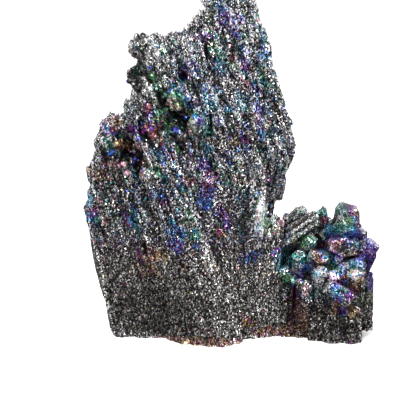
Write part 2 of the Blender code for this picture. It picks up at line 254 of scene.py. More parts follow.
# Where a film stands out, as (x, height, half width, half length, share of the grains that have it).
FILM_PATCHES = {
    "straw": (
        (-35.5, 68, 1.5, 1.5, 0.3), (-29, 58.5, 0.5, 1.5, 0.6), (-23, 31.5, 1.5, 1.5, 0.3),
        (22, 35.5, 0.5, 1, 0.7), (43, 45.5, 1, 1, 0.6), (38, 24, 1, 2, 0.65), (43, 23.5, 1.5, 1, 0.95),
        (1.5, 69.5, 1, 1, 0.6), (40, 12.5, 2.5, 1.5, 0.4),
    ),
    "bronze": (
        (-39.5, 76, 2, 1.5, 0.5), (-24.5, 71.5, 1, 2.5, 0.6), (-48, 60, 1, 1.5, 0.6),
        (-44, 58.5, 2, 1.5, 0.3), (-14.5, 56, 1.5, 1, 0.45), (-28, 29, 2.5, 3, 0.3),
        (-3.5, 38.5, 1, 1, 0.6), (5.5, 8, 1.5, 1, 0.8), (-15.5, 2.5, 7, 1, 0.4), (-5, 1.5, 7, 1, 0.4),
        (12, 5, 3.5, 1, 0.5), (21, 5, 3, 2, 0.4), (24.5, 10, 1.5, 4, 0.4), (35.5, 13.5, 0.5, 3, 0.6),
        (42, 20.5, 1.5, 1.5, 0.9), (30, 30.5, 2, 2, 0.35), (39, 33.5, 3, 2, 0.3),
    ),
    "maroon": (
        (-12.5, 103.5, 1, 0.5, 0.6), (-15.5, 92, 1, 1, 0.5), (-27.5, 79.5, 1, 1.5, 0.7),
        (-27, 73, 1.5, 1, 0.9), (-7.5, 56, 1.5, 1.5, 0.5), (-46, 46.5, 1, 1, 0.6),
        (43.5, 43, 1, 1.5, 0.5), (36, 34.5, 3, 1.5, 0.35), (32, 43, 1, 1, 0.9), (22, 14.5, 1, 5, 0.45),
    ),
    "magenta": (
        (-7, 104.5, 1, 1, 0.6), (-9.5, 104, 1.5, 1, 0.45), (5, 93, 1, 1.5, 0.85),
        (9.5, 77, 0.5, 1.5, 0.5), (5, 70, 1.5, 1.5, 0.8), (-20.5, 64.5, 1, 1.5, 0.9),
        (-22.5, 49.5, 1.5, 1, 0.8), (-6.5, 58, 1.5, 1, 0.6), (-2, 46, 1.5, 1.5, 0.5),
        (-34.5, 43, 1, 1.5, 0.75), (21.5, 25, 0.5, 0.5, 0.9), (42, 46, 1.5, 1.5, 0.95),
        (49.5, 34.5, 1, 1.5, 0.9), (47, 32, 1.5, 1, 0.8), (34, 24, 1, 1.5, 0.9),
        (36, 23, 1.5, 1.5, 0.85), (40, 17.5, 1.5, 1, 0.6),
    ),
    "violet": (
        (-2, 111, 1, 1.5, 0.8), (-2.5, 109, 0.5, 1, 0.6), (0.5, 110, 2.5, 1.5, 0.35),
        (1, 105.5, 1, 1.5, 0.55), (5, 96, 1, 1.5, 0.6), (-13.5, 93.5, 1.5, 1.5, 0.7),
        (-16, 87, 1, 1, 0.5), (9, 86.5, 1, 1.5, 0.5), (9, 80, 1, 2, 0.5), (-42.5, 74, 1.5, 2, 0.5),
        (-32.5, 73, 1.5, 1, 0.5), (-3.5, 76.5, 0.5, 1, 0.65), (-9, 62, 1.5, 2, 0.55),
        (-7, 54, 1.5, 2.5, 0.7), (-0.5, 41.5, 1, 1.5, 0.6), (-18.5, 34.5, 1.5, 1.5, 0.55),
        (-30.5, 30.5, 0.5, 2.5, 0.45), (15.5, 32.5, 1.5, 1, 0.5), (35, 37.5, 2, 1, 0.9),
        (44, 39, 1.5, 1.5, 0.8), (48, 36, 2, 1.5, 0.95), (46.5, 34, 1.5, 2, 0.9), (45, 30.5, 1.5, 1, 0.95),
        (47.5, 29, 1.5, 3, 0.9), (36.5, 28, 1, 1, 0.95), (48.5, 23, 1, 3, 0.5),
        (40, 18.5, 1.5, 1, 0.8), (24, 24.5, 1, 2, 0.45),
    ),
    "blue": (
        (-3, 113.5, 1, 1.5, 0.85), (11, 99.5, 1, 2, 0.5), (12.5, 98.5, 1, 1, 0.5),
        (4.5, 100, 0.5, 1.5, 0.5), (8, 88.5, 0.5, 1.5, 0.5), (-14.5, 83, 1, 1.5, 0.85),
        (-8, 85, 1, 2, 0.5), (-19.5, 76.5, 0.5, 0.5, 0.7), (-17.5, 73, 1.5, 1, 0.8),
        (-10.5, 76, 1, 1, 0.5), (10, 72.5, 1, 1.5, 0.8), (5, 67.5, 1.5, 1, 0.5), (-23, 63, 1, 1.5, 0.6),
        (-23, 51.5, 2, 1.5, 0.75), (-8.5, 48.5, 1.5, 2, 0.55), (-46.5, 44, 1.5, 1.5, 0.6),
        (-32.5, 45.5, 0.5, 2, 0.5), (-18.5, 39, 2, 2, 0.4), (-11.5, 34.5, 1, 1, 0.6),
        (7.5, 30.5, 2, 1.5, 0.4), (39, 38, 1.5, 1, 0.95), (42, 37.5, 1.5, 1.5, 0.95),
        (44, 29, 1, 1.5, 0.95), (35.5, 31, 1.5, 1, 0.85), (25.5, 27, 1.5, 1.5, 0.6),
        (36, 17.5, 1.5, 1, 0.85),
    ),
    "cyan": (
        (-4.5, 103.5, 0.5, 1.5, 0.7), (11, 103.5, 1, 1.5, 0.55), (-3.5, 93, 1, 1.5, 0.5),
        (-17.5, 86, 1.5, 1.5, 0.8), (-8, 82.5, 1, 1.5, 0.5), (-6, 82.5, 1.5, 1.5, 0.5),
        (4.5, 83, 1.5, 2, 0.4), (-0.5, 80, 1, 1, 0.55), (-8.5, 78, 1, 1.5, 0.7),
        (-8, 67.5, 1.5, 1.5, 0.45), (-23.5, 65, 1.5, 1.5, 0.75), (-16.5, 55, 1, 2, 0.5),
        (-47.5, 49.5, 1, 1.5, 0.55), (-19.5, 43, 1, 1.5, 0.45), (18.5, 28.5, 2.5, 1.5, 0.4),
        (33.5, 39.5, 1.5, 1.5, 0.9), (40, 40.5, 2, 1, 0.95), (41, 28, 1.5, 1, 0.98),
        (29, 25, 1, 1, 0.95), (32, 26.5, 1, 0.5, 0.9), (34.5, 20, 1.5, 1.5, 0.95),
    ),
    "teal": (
        (-22.5, 100, 1.5, 2, 0.3), (-3, 97, 1, 1.5, 0.5), (11, 89.5, 2, 1.5, 0.35),
        (-16.5, 90, 1, 1.5, 0.7), (-13, 79.5, 1, 1.5, 0.5), (-7.5, 74.5, 1, 2.5, 0.85),
        (-8, 72, 1.5, 1, 0.85), (-19, 62, 1, 0.5, 0.5), (-8.5, 65.5, 1, 1.5, 0.5),
        (-32.5, 43, 1, 2.5, 0.5), (-12, 38, 1.5, 1.5, 0.45), (19.5, 30.5, 2, 2, 0.6),
        (36.5, 40, 1.5, 1.5, 0.9), (38, 47, 1.5, 1.5, 0.35), (25, 30.5, 2, 1.5, 0.7),
        (31.5, 46, 1.5, 1, 0.85), (27.5, 35.5, 1.5, 1, 0.8), (31.5, 32.5, 1.5, 0.5, 0.9),
    ),
    "green": (
        (-5.5, 99.5, 1.5, 1, 0.5), (-24, 87.5, 1.5, 2, 0.55), (-17.5, 83.5, 1.5, 2, 0.95),
        (-17, 80.5, 1.5, 1, 0.9), (-22, 77, 2.5, 3, 0.35), (-14.5, 44.5, 1, 1.5, 0.45),
        (-25.5, 60, 1.5, 2, 0.35), (13.5, 41, 1.5, 2, 0.35), (20, 23, 1.5, 1.5, 0.7),
        (41, 43, 2, 1, 0.95), (38.5, 41.5, 1.5, 1, 0.85), (25.5, 35.5, 1.5, 1.5, 0.8),
        (34.5, 27.5, 1.5, 1, 0.5),
    ),
    "lime": (
        (-5.5, 101.5, 1, 1, 0.6), (-19.5, 83, 1.5, 1.5, 0.5), (-13.5, 78, 1, 1.5, 0.6),
        (-14.5, 73.5, 1.5, 1, 0.55), (-28.5, 61, 1.5, 2, 0.35), (15.5, 39.5, 1.5, 1, 0.45),
        (31.5, 37.5, 0.5, 1, 0.7), (32.5, 31, 1, 1, 0.6), (40.5, 34.5, 2, 1, 0.45),
        (37.5, 11.5, 1, 1.5, 0.35), (45.5, 15.5, 2, 2, 0.2),
    ),
    "pink": (
        (-7, 106, 1, 1, 0.7), (5, 90, 1, 1.5, 0.7), (-15.5, 78, 0.5, 0.5, 0.8),
        (-30.5, 67.5, 1.5, 1, 0.65), (-39, 62, 2.5, 1, 0.7), (-43, 43, 1.5, 1, 0.45),
        (17.5, 42.5, 1, 1, 0.8), (37, 26, 1, 1, 0.85), (41.5, 25.5, 1.5, 1, 0.85),
        (38.5, 21.5, 1, 1.5, 0.7), (24.5, 19.5, 1, 2, 0.3),
    ),
}

# Where most grains are bare, as (x, height, half width, half length, share of the film that is missing).
BARE = (
    (39, 33.5, 4, 2.4, 0.85), (24.5, 41.5, 5, 2.5, 0.8), (30, 22.5, 1.5, 3, 0.6), (24.5, 17, 1, 4, 0.6),
    (-31, 98, 4, 5, 0.6), (-33, 88, 3, 6, 0.5),
)

# Where the grains are lighter or darker, as (x, height, half width, half length, lift): partly their own
# tone, partly painted highlights on faces that catch the light and painted shade in hollows and on faces
# turned from it.
LIGHTER = (
    (10.3, 44.8, 1.6, 7.8, 0.6), (13.5, 39.5, 3, 4, 0.14), (-9, 33.5, 1, 3.5, 0.2),
    (-6.5, 27, 1.5, 2.5, 0.14), (-13, 28.5, 1, 1, 0.2), (-13.5, 40, 1.5, 2, 0.08),
    (-0.5, 17.5, 0.5, 1.5, 0.3), (-10.5, 58, 1.5, 1.5, 0.25), (-5, 55, 1, 2, 0.22), (8, 111, 1, 1.5, 0.2),
    (6, 104, 2.5, 5.5, 0.12), (-6, 101.5, 1, 2.5, 0.16), (-25, 99, 2, 5, 0.2),
    (-27, 88.5, 1.5, 3, 0.16), (-14.5, 96, 1, 1, 0.15), (1, 79, 0.5, 1, 0.25), (2, 65.5, 2, 2, 0.1),
    (-2.5, 70.5, 3, 2.5, 0.08), (-29, 58, 0.5, 1.5, 0.15), (-2.5, 8, 2.5, 2.5, 0.06),
    (11, 12, 2.5, 3, 0.08), (12, 27, 2.5, 3, 0.08), (30, 24.5, 1.5, 2.5, 0.42), (41.5, 24.5, 2, 1.5, 0.45),
    (35.5, 26, 3.5, 2.5, 0.22), (26.5, 35.5, 1.5, 1.5, 0.06), (31.5, 32, 1.5, 2.5, 0.06),
    (42, 28, 1.5, 1.5, 0.12), (25, 17.5, 1, 4.5, 0.2), (31.5, 37.5, 0.5, 2, 0.14), (37.5, 42, 2, 2.5, 0.12),
    (43, 46, 1.5, 1.5, 0.2), (48.5, 34.5, 1.5, 2.5, 0.06), (24.5, 41, 6, 3, -0.07),
    (-39, 60, 2.5, 2.5, 0.05), (-27, 77, 1.5, 2, 0.12), (-33.5, 74, 1.5, 2, 0.1), (-14.5, 79, 1, 1, 0.12),
    (-26.5, 12, 11.5, 6, -0.07), (-12, 15.5, 4, 9, -0.04), (15.5, 76, 3, 4, -0.14),
    (19, 66, 2.5, 2.5, -0.12), (-13.5, 107, 5.5, 1.5, -0.16), (-8.5, 111.5, 2.5, 2.5, -0.12),
    (-11, 102.5, 2, 4.5, -0.14), (-8, 97, 1.5, 3.5, -0.1), (-31.5, 101.5, 3, 4, -0.12),
    (-30, 95, 6, 9, -0.09),
    (-32.5, 92, 2.5, 4, -0.14), (-30.5, 84.5, 2.5, 1.5, -0.1), (-16, 92, 2, 3, -0.12),
    (9, 87.5, 3, 5, -0.09), (-28, 73, 3, 3, -0.18), (-35.5, 65, 3, 2.5, -0.08), (-18.5, 70, 6, 6, -0.12),
    (-19, 77.5, 4.5, 3.5, -0.08), (-6, 62, 1.5, 2.5, -0.12), (-29, 48, 3, 3, -0.06),
    (-2.5, 29, 1.5, 2.5, -0.05), (13.5, 23, 3, 2, -0.04), (39, 33.5, 4.5, 2.8, -0.22),
    (38, 46, 2.5, 3, -0.16),
    (32.5, 43, 1.5, 1.5, -0.12), (47, 27, 1.5, 3.5, -0.14), (35.5, 29, 3.5, 1.5, -0.12),
    (19, 33.5, 2, 1.5, -0.1), (18, 21, 4, 3, -0.1), (22, 15.5, 3, 7, -0.14), (21, 45, 1.5, 1.5, -0.12),
    (30, 10, 4, 4, -0.06), (39, 9, 9.5, 4, -0.08), (42, 19.5, 1.5, 1.5, -0.2), (14, 30, 4, 6, 0.05),
)

HIGHLIGHT_LIFT = 0.5  # lift from which a mark is a painted highlight: one smooth crystal face painted white, with little grain
HIGHLIGHT_LEAN = 0.05

# Pits and gaps, pressed in and painted with shade, as (x, height, half width, half length, lean in degrees,
# depth).
PITS = (
    (-18, 78, 1.5, 4.5, 43, 4), (-29, 76.5, 1.5, 2.5, -20, 3), (-28, 70.5, 2, 3, 30, 3.5),
    (-19.5, 70.5, 1, 1.5, 10, 2), (-6.5, 75, 0.5, 4, 5, 2.5), (-22, 84.5, 0.5, 3.5, 10, 2),
    (-34.5, 65.5, 1.2, 2.2, 60, 2.5), (-6.5, 62, 0.5, 2.5, 5, 2), (-40, 64.5, 1, 2, 70, 1.5),
    (-8, 98.5, 0.5, 4, 3, 2.5), (-2, 103.5, 0.5, 3, 15, 2), (-2.5, 73, 0.5, 1.5, 10, 1.5),
    (9, 87.5, 0.5, 3, 12, 2), (-11, 84.5, 0.5, 6, 18, 2.5), (-31.8, 91, 1.4, 2.8, 15, 1.5),
    (-23, 82.5, 1, 2, 20, 2), (-15.5, 91, 1, 2, 15, 2), (22, 16.5, 0.5, 5, 0, 2),
    (6, 114, 0.5, 1.5, 10, 1.5), (1, 97, 0.5, 3, 12, 1.5), (4, 67.5, 0.5, 1.5, 10, 1),
    (-15, 53.5, 0.5, 2.5, 14, 1.5), (-20.5, 48.5, 0.5, 3, 14, 1.5), (-43, 38.5, 0.5, 4, 20, 1.5),
    (-28.5, 33.5, 0.5, 2.5, 8, 1.5), (19, 22, 1.5, 2, 20, 2),
)

# Where a mark ends: its squared distance from the middle, with 1 at its rim. It fades over the last 1.
PATCH_END = 1.7
BARE_END = 1.4
PRESSED_END = 1.4
LIGHTER_END = 1.3
HIGHLIGHT_END = 1.6
PIT_END = 1.25
PIT_STEEPNESS = 1.6  # how much faster a pit fades

# How the film is spread. DRIFT and RAGGED are noises: size across the growth, size along it, place.
DRIFT = (3.5, 12, 40)
RAGGED = (1.2, 3.5, 80)
FILM_SHARE = ((20, 0.03), (36, 0.07), (50, 0.18), (75, 0.23), (122, 0.15))  # of the grains, by height
BLOCK_FILM_SHARE = ((8, 0.05), (20, 0.12))
LOBE = (-20, 80)  # the lobes on the slab's upper left are left of this x and above this height
LOBE_FILM = 0.35  # how much of that share they have
FILM_BY_NOISE = ((-0.4, 0.3), (0.5, 2.4))  # what the share is multiplied by, by DRIFT and RAGGED together
RAINBOW = (0.5, 0.7, 0.45)  # the film's place in FILMS: the middle, and what DRIFT and RAGGED add
BROWN = (0.08, 0.1)  # the same for brown matrix, and what RAGGED adds
BROWN_FADE = ((28, 1), (40, 0))  # how much of the film is that brown, by height
BLOCK_BROWN_FADE = ((12, 1), (16, 0))
PATCH_SIZE = (1.35, 0.9, 0.5)  # how much wider than its row a patch is, and what RAGGED and DRIFT add
PATCH_GAIN = 1.9  # what its share is multiplied by
PATCH_MOST = 0.95
BACKGROUND = 0.02  # weight of the film's place away from the patches
FILM_VARIES = 0.11  # how much the film's place differs from one crystal to the next
BLOCK_FILM_VARIES = 0.035
BLOCK_FILM = 0.85  # share of the block's film that is left
FILMED = (0.6, 1.0)  # share of the film on a crystal that has it
FILM_TRACE = 0.3  # and on one that hasn't, times the share of grains that have it

# How light the grains are, with the middle of GREYS at 0.5, and how much they differ. Tables go by height.
LIFT = ((0, -0.26), (30, -0.31), (50, -0.23), (85, -0.09), (121, -0.06))
BLOCK_LIFT = ((8, -0.32), (BLOCK_BASE + 5, -0.27))
LIGHTER_EDGE = (1.4, 4, 120)  # a noise like DRIFT
LIGHTER_SIZE = (1.3, 0.7)  # how much wider than its row a mark is, and what that noise adds
MIDDLE_TONE = 0.5
# Painted shade and light: how much darker grains are in grooves and lighter on ridges, and darker in pits and
# in the gaps between columns.
GROOVE_PAINTED_SHADE = 0.28
PIT_PAINTED_SHADE = 0.4
STRIPE_PAINTED_SHADE = 0.55
CONTRAST = ((15, 0.95), (35, 1.06), (60, 1.3))
BLOCK_CONTRAST = ((BLOCK_BASE - 2, 1.0), (BLOCK_BASE + 4, 0.85))
FREE_EVEN = 0.4  # share of the contrast that is missing among the free crystals
FACETED_EVEN = 0.3  # on a free crystal itself
HIGHLIGHT_EVEN = 0.7  # and on a painted highlight face
UNEVEN = ((25, 0.05), (55, 0.16))  # how much lighter or darker a crystal may be than the next
BLOCK_UNEVEN = 0.25
FACE_UNEVEN = 0.12  # the same for a crystal's faces
FACETED_UNEVEN = 0.2  # added on a free crystal


def linear(colour):
    """An sRGB hex colour as linear RGBA."""
    values = [int(colour[start : start + 2], 16) / 255 for start in (1, 3, 5)]
    return (*(v / 12.92 if v <= 0.04045 else ((v + 0.055) / 1.055) ** 2.4 for v in values), 1)


def table_at(table, where):
    """Values of a table of (place, value) rows, on straight lines between them."""
    places, values = zip(*table)
    return np.interp(where, places, values)


def in_block(points, above=0):
    """Whether the points are in the low block of big crystals."""
    x, z = points[:, 0], points[:, 2]
    return (x > BLOCK_LEFT) & (z < table_at(BLOCK_TOP, x)) & (z >= above)


def lean_at(points):
    """How far the growth moves left for each unit that it rises, at these points."""
    x, z = points[:, 0], points[:, 2]
    lean = table_at(SLAB_LEANS, x + z * FOLLOWED_DOWN)
    lean = np.where((x > FLANK_TOP[0][0]) & (z < table_at(FLANK_TOP, x)), FLANK_LEAN, lean)
    return np.where(in_block(points), 0.0, lean)


def unit(vectors):
    """The same directions at length 1."""
    return vectors / np.linalg.norm(vectors, axis=1)[:, None]


def growth_axes(points):
    """Unit vectors along the growth."""
    lean = lean_at(points)
    return unit(np.stack([-lean, np.zeros_like(lean), np.ones_like(lean)], axis=1))


def noise_at(points, axes, across, along, shift):
    """Smooth noise from -1 to 1, of one size across the growth and another along it."""
    height = np.einsum("ij,ij->i", points, axes)
    squeezed = (points - axes * height[:, None]) / across + axes * (height / along)[:, None] + shift
    return np.array([noise.noise(point) for point in squeezed.tolist()])


def seen_height(points):
    """The height at which the points are seen from the front, over the base's front edge."""
    return points[:, 2] * math.cos(ELEVATION) + (points[:, 1] - FRONT_EDGE) * math.sin(ELEVATION)


def far_from(points, mark, lean):
    """The squared distance from a mark's middle, 1 at its rim."""
    x, height, half_width, half_length = mark
    up = seen_height(points) - height
    side = points[:, 0] - x + up * lean
    return (side / half_width) ** 2 + (up / half_length) ** 2


def film_at(points):
    """The film's place in FILMS, from 0 to 1, and the share of grains with film, at these points."""
    x, z = points[:, 0], points[:, 2]
    block = in_block(points)
    axes = growth_axes(points)
    drift = noise_at(points, axes, *DRIFT)
    ragged = noise_at(points, axes, *RAGGED)
    share = table_at(FILM_SHARE, z) * np.where((x < LOBE[0]) & (z > LOBE[1]), LOBE_FILM, 1)
    share = np.where(block, table_at(BLOCK_FILM_SHARE, z), share)
    share *= table_at(FILM_BY_NOISE, drift + ragged)
    rainbow = RAINBOW[0] + drift * RAINBOW[1] + ragged * RAINBOW[2]
    low = np.where(block, table_at(BLOCK_BROWN_FADE, z), table_at(BROWN_FADE, z))
    place = rainbow * (1 - low) + (BROWN[0] + ragged * BROWN[1]) * low
    weight = np.full(len(points), BACKGROUND)
    place_sum = place * weight
    without = 1 - share
    lean = lean_at(points)
    wider = (PATCH_SIZE[0] + ragged * PATCH_SIZE[1] + drift * PATCH_SIZE[2]) ** 2
    names = list(FILMS)
    for film, marks in FILM_PATCHES.items():
        for *mark, filmed in marks:
            far = far_from(points, mark, lean) / wider
            pull = np.clip(PATCH_END - far, 0, 1) * min(filmed * PATCH_GAIN, PATCH_MOST)
            place_sum += pull * (names.index(film) / (len(names) - 1))
            weight += pull
            without *= 1 - pull
    share = 1 - without
    for *mark, missing in BARE:
        share *= 1 - missing * np.clip(BARE_END - far_from(points, mark, lean), 0, 1)
    return place_sum / weight, share


def free_at(points):
    """How much the points lie where large crystals stand free, from 0 to 1."""
    inside = np.zeros(len(points))
    for mark in FREE:
        inside = np.maximum(inside, np.clip(2 - 2 * far_from(points, mark, 0), 0, 1))
    return inside * (points[:, 1] < FREE_END)


def pits_at(points):
    """How deep the pits are at these points, and how much painted shade they get, from 0 to 1."""
    depth = np.zeros(len(points))
    dark = np.zeros(len(points))
    for *mark, lean, deepest in PITS:
        far = far_from(points, mark, math.tan(math.radians(lean)))
        inside = np.clip((PIT_END - far) * PIT_STEEPNESS, 0, 1)
        depth = np.maximum(depth, inside * deepest)
        dark = np.maximum(dark, inside)
    on_front = points[:, 1] < FRONT_END
    return depth * on_front, dark * on_front


def stripes_at(points):
    """How deep in a narrow gap between columns the points lie, from 0 to 1."""
    z = points[:, 2]
    value = noise_at(points, growth_axes(points), *STRIPE)
    strength = table_at(STRIPE_STRENGTH, z)
    strength = np.where(in_block(points), BLOCK_STRIPE_STRENGTH * (z < BLOCK_BASE), strength)
    return np.clip(1 - np.abs(value) / STRIPE_WIDTH, 0, 1) * strength * (1 - painted_highlight_at(points))


def lift_at(points):
    """How much lighter the grains are at these points, with painted highlights and painted shade among the
    marks.
    """
    z = points[:, 2]
    lift = np.where(in_block(points), table_at(BLOCK_LIFT, z), table_at(LIFT, z))
    lean = lean_at(points)
    ragged = LIGHTER_SIZE[0] + LIGHTER_SIZE[1] * noise_at(points, growth_axes(points), *LIGHTER_EDGE)
    for *mark, change in LIGHTER:
        here = points[:, 1] < FRONT_END if change >= HIGHLIGHT_LIFT else 1
        lift += change * np.clip(LIGHTER_END - far_from(points, mark, lean) / ragged**2, 0, 1) * here
    return lift


def painted_highlight_at(points):
    """How much the points are on a smooth face painted white as a highlight, from 0 to 1."""
    inside = np.zeros(len(points))
    for *mark, change in LIGHTER:
        if change >= HIGHLIGHT_LIFT:
            here = np.clip(HIGHLIGHT_END - far_from(points, mark, HIGHLIGHT_LEAN), 0, 1)
            inside = np.maximum(inside, here)
    return inside * (points[:, 1] < FRONT_END)


def contrast_at(points):
    """How much the grains differ from one to the next at these points."""
    z = points[:, 2]
    contrast = np.where(in_block(points), table_at(BLOCK_CONTRAST, z), table_at(CONTRAST, z))
    return contrast * (1 - FREE_EVEN * free_at(points)) * (1 - HIGHLIGHT_EVEN * painted_highlight_at(points))


def in_scene(name, data):
    """A new object in the scene."""
    obj = bpy.data.objects.new(name, data)
    bpy.context.scene.collection.objects.link(obj)
    return obj


def mesh_of(build, name):
    """A mesh of the shape in hand, which is freed."""
    mesh = bpy.data.meshes.new(name)
    build.to_mesh(mesh)
    build.free()
    return mesh


def solid_shape():
    """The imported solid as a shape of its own, with its points joined."""
    build = bmesh.new()
    build.from_mesh(bpy.data.objects[NODE].data)
    bmesh.ops.remove_doubles(build, verts=build.verts, dist=SAME_POINT * MM)
    return build


def large_crystals():
    """The block's large crystals as one mesh, each where its middle is seen from the front."""
    solid = solid_shape()
    tree = BVHTree.FromBMesh(solid)
    solid.free()
    away = Vector((0, math.cos(ELEVATION), -math.sin(ELEVATION)))
    shape = {"cap_ends": True, "segments": CRYSTAL_SIDES, "radius1": 0.5, "radius2": CRYSTAL_TOP, "depth": 1}
    build = bmesh.new()
    for x, height, width, depth, length, right, front in LARGE_CRYSTALS:
        z = (height + (FAR + FRONT_EDGE) * math.sin(ELEVATION)) / math.cos(ELEVATION)
        middle = tree.ray_cast(Vector((x, -FAR, z)) * MM, away)[0]
        turn = Matrix.Rotation(math.radians(right), 4, "Y") @ Matrix.Rotation(math.radians(front), 4, "X")
        size = Matrix.Diagonal((width * MM, width * depth * MM, length * MM, 1))
        place = Matrix.Translation(middle) @ turn @ size
        bmesh.ops.create_cone(build, matrix=place, **shape)
    return mesh_of(build, "large_crystals")


def facets_of_block(large, rng):
    """The solid's faces for finding the nearest one, and for each its normal and its facet's shade."""
    build = solid_shape()
    build.from_mesh(large)
    build.faces.ensure_lookup_table()
    facet = np.full(len(build.faces), -1)
    for start in build.faces:
        if facet[start.index] >= 0:
            continue
        facet[start.index] = start.index
        open_faces = [start]
        while open_faces:
            for edge in open_faces.pop().edges:
                if edge.calc_face_angle(math.pi) > FACET_ANGLE:
                    continue
                for face in edge.link_faces:
                    if facet[face.index] < 0:
                        facet[face.index] = start.index
                        open_faces.append(face)
    tree = BVHTree.FromBMesh(build)
    normals = np.array([face.normal for face in build.faces])
    build.free()
    return tree, normals, rng.uniform(-1, 1, len(facet))[facet]


def facet_lift(spots, facets):
    """How much lighter each spot is for the block's large facet that it lies on: painted light by the facet's
    direction, and its own shade by chance.
    """
    tree, normals, shades = facets
    lift = np.zeros(len(spots))
    inside = np.flatnonzero(in_block(spots, BLOCK_BASE))
    nearest = np.array([tree.find_nearest(spot)[2] for spot in (spots[inside] * MM).tolist()], int)
    lift[inside] = normals[nearest] @ np.array(FACET_PAINTED_LIGHT) + FACET_SHADE * shades[nearest]
    return lift


def mesh_object(name, points, corners, totals):
    """A flat-shaded mesh object in metres, from points in millimetres and each face's corners."""
    mesh = bpy.data.meshes.new(name)
    mesh.vertices.add(len(points))
    mesh.vertices.foreach_set("co", (np.asarray(points) * MM).astype(np.float32).ravel())
    mesh.loops.add(len(corners))
    mesh.loops.foreach_set("vertex_index", np.asarray(corners, np.int32))
    mesh.polygons.add(len(totals))
    starts = np.concatenate([[0], np.cumsum(totals)[:-1]]).astype(np.int32)
    mesh.polygons.foreach_set("loop_start", starts)
    mesh.update(calc_edges=True)
    mesh.validate()
    return in_scene(name, mesh)


def read(items, label, width, kind=np.float32):
    """A mesh attribute as an array with this many columns."""
    values = np.empty(len(items) * width, kind)
    items.foreach_get(label, values)
    return values.reshape(-1, width)


def paint(obj, spots, owner, hollow, facets, rng, faceted=0):
    """Gives each face its brightness and film, from its crystal's middle and how hollow its place is, with
    painted shade in hollows.
    """
    place, share = film_at(spots)
    block = in_block(spots)
    # Painted shade in grooves, pits and gaps, painted light on ridges, and the block's facets painted lighter
    # or darker by their direction.
    lift = lift_at(spots) + facet_lift(spots, facets) - GROOVE_PAINTED_SHADE * hollow
    lift -= PIT_PAINTED_SHADE * pits_at(spots)[1] + STRIPE_PAINTED_SHADE * stripes_at(spots)
    spot_count, face_count = len(spots), len(owner)
    contrast = contrast_at(spots) * (1 - FACETED_EVEN * faceted)
    uneven = np.where(block, BLOCK_UNEVEN, table_at(UNEVEN, spots[:, 2]))
    tone = (MIDDLE_TONE + lift + uneven * rng.uniform(-1, 1, spot_count))[owner]
    face = FACE_UNEVEN + FACETED_UNEVEN * faceted
    tone = tone + rng.uniform(-face, face, face_count)
    vary = np.where(in_block(spots, BLOCK_BASE), BLOCK_FILM_VARIES, FILM_VARIES)
    film = np.clip(place + rng.normal(0, 1, spot_count) * vary, 0, 1)[owner]
    share = share * np.where(block, BLOCK_FILM, 1)
    has_film = (rng.random(spot_count) < share)[owner]
    film_share = np.where(has_film, rng.uniform(*FILMED, face_count), share[owner] * FILM_TRACE)
    looks = {"tone": tone, "contrast": contrast[owner], "film": film, "film_share": film_share}
    for label, values in looks.items():
        layer = obj.data.attributes.new(label, "FLOAT", "FACE")
        layer.data.foreach_set("value", values.astype(np.float32))


def apply_modifiers(obj):
    """Puts the object's modifiers into its mesh, and returns the mesh."""
    graph = bpy.context.evaluated_depsgraph_get()
    mesh = bpy.data.meshes.new_from_object(obj.evaluated_get(graph))
    obj.modifiers.clear()
    obj.data = mesh
    return mesh


def part_of_solid(name, keeps, overlap):
    """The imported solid's part in the block or outside it, as an object."""
    obj = in_scene(name, mesh_of(solid_shape(), name))
    outline = [(x - overlap, z + overlap) for x, z in BLOCK_TOP]
    outline = [(outline[0][0], -FAR), *outline, (FAR, outline[-1][1]), (FAR, -FAR)]
    build = bmesh.new()
    side = build.faces.new([build.verts.new(Vector((x, -FAR, z)) * MM) for x, z in outline])
    moved = bmesh.ops.extrude_face_region(build, geom=[side])["geom"]
    back = [item for item in moved if isinstance(item, bmesh.types.BMVert)]
    bmesh.ops.translate(build, verts=back, vec=(0, 2 * FAR * MM, 0))
    bmesh.ops.recalc_face_normals(build, faces=build.faces)
    cutter = in_scene("cutter", mesh_of(build, "cutter"))
    cut = obj.modifiers.new("cut", "BOOLEAN")
    cut.operation = keeps
    cut.object = cutter
    apply_modifiers(obj)
    bpy.data.objects.remove(cutter)
    return obj


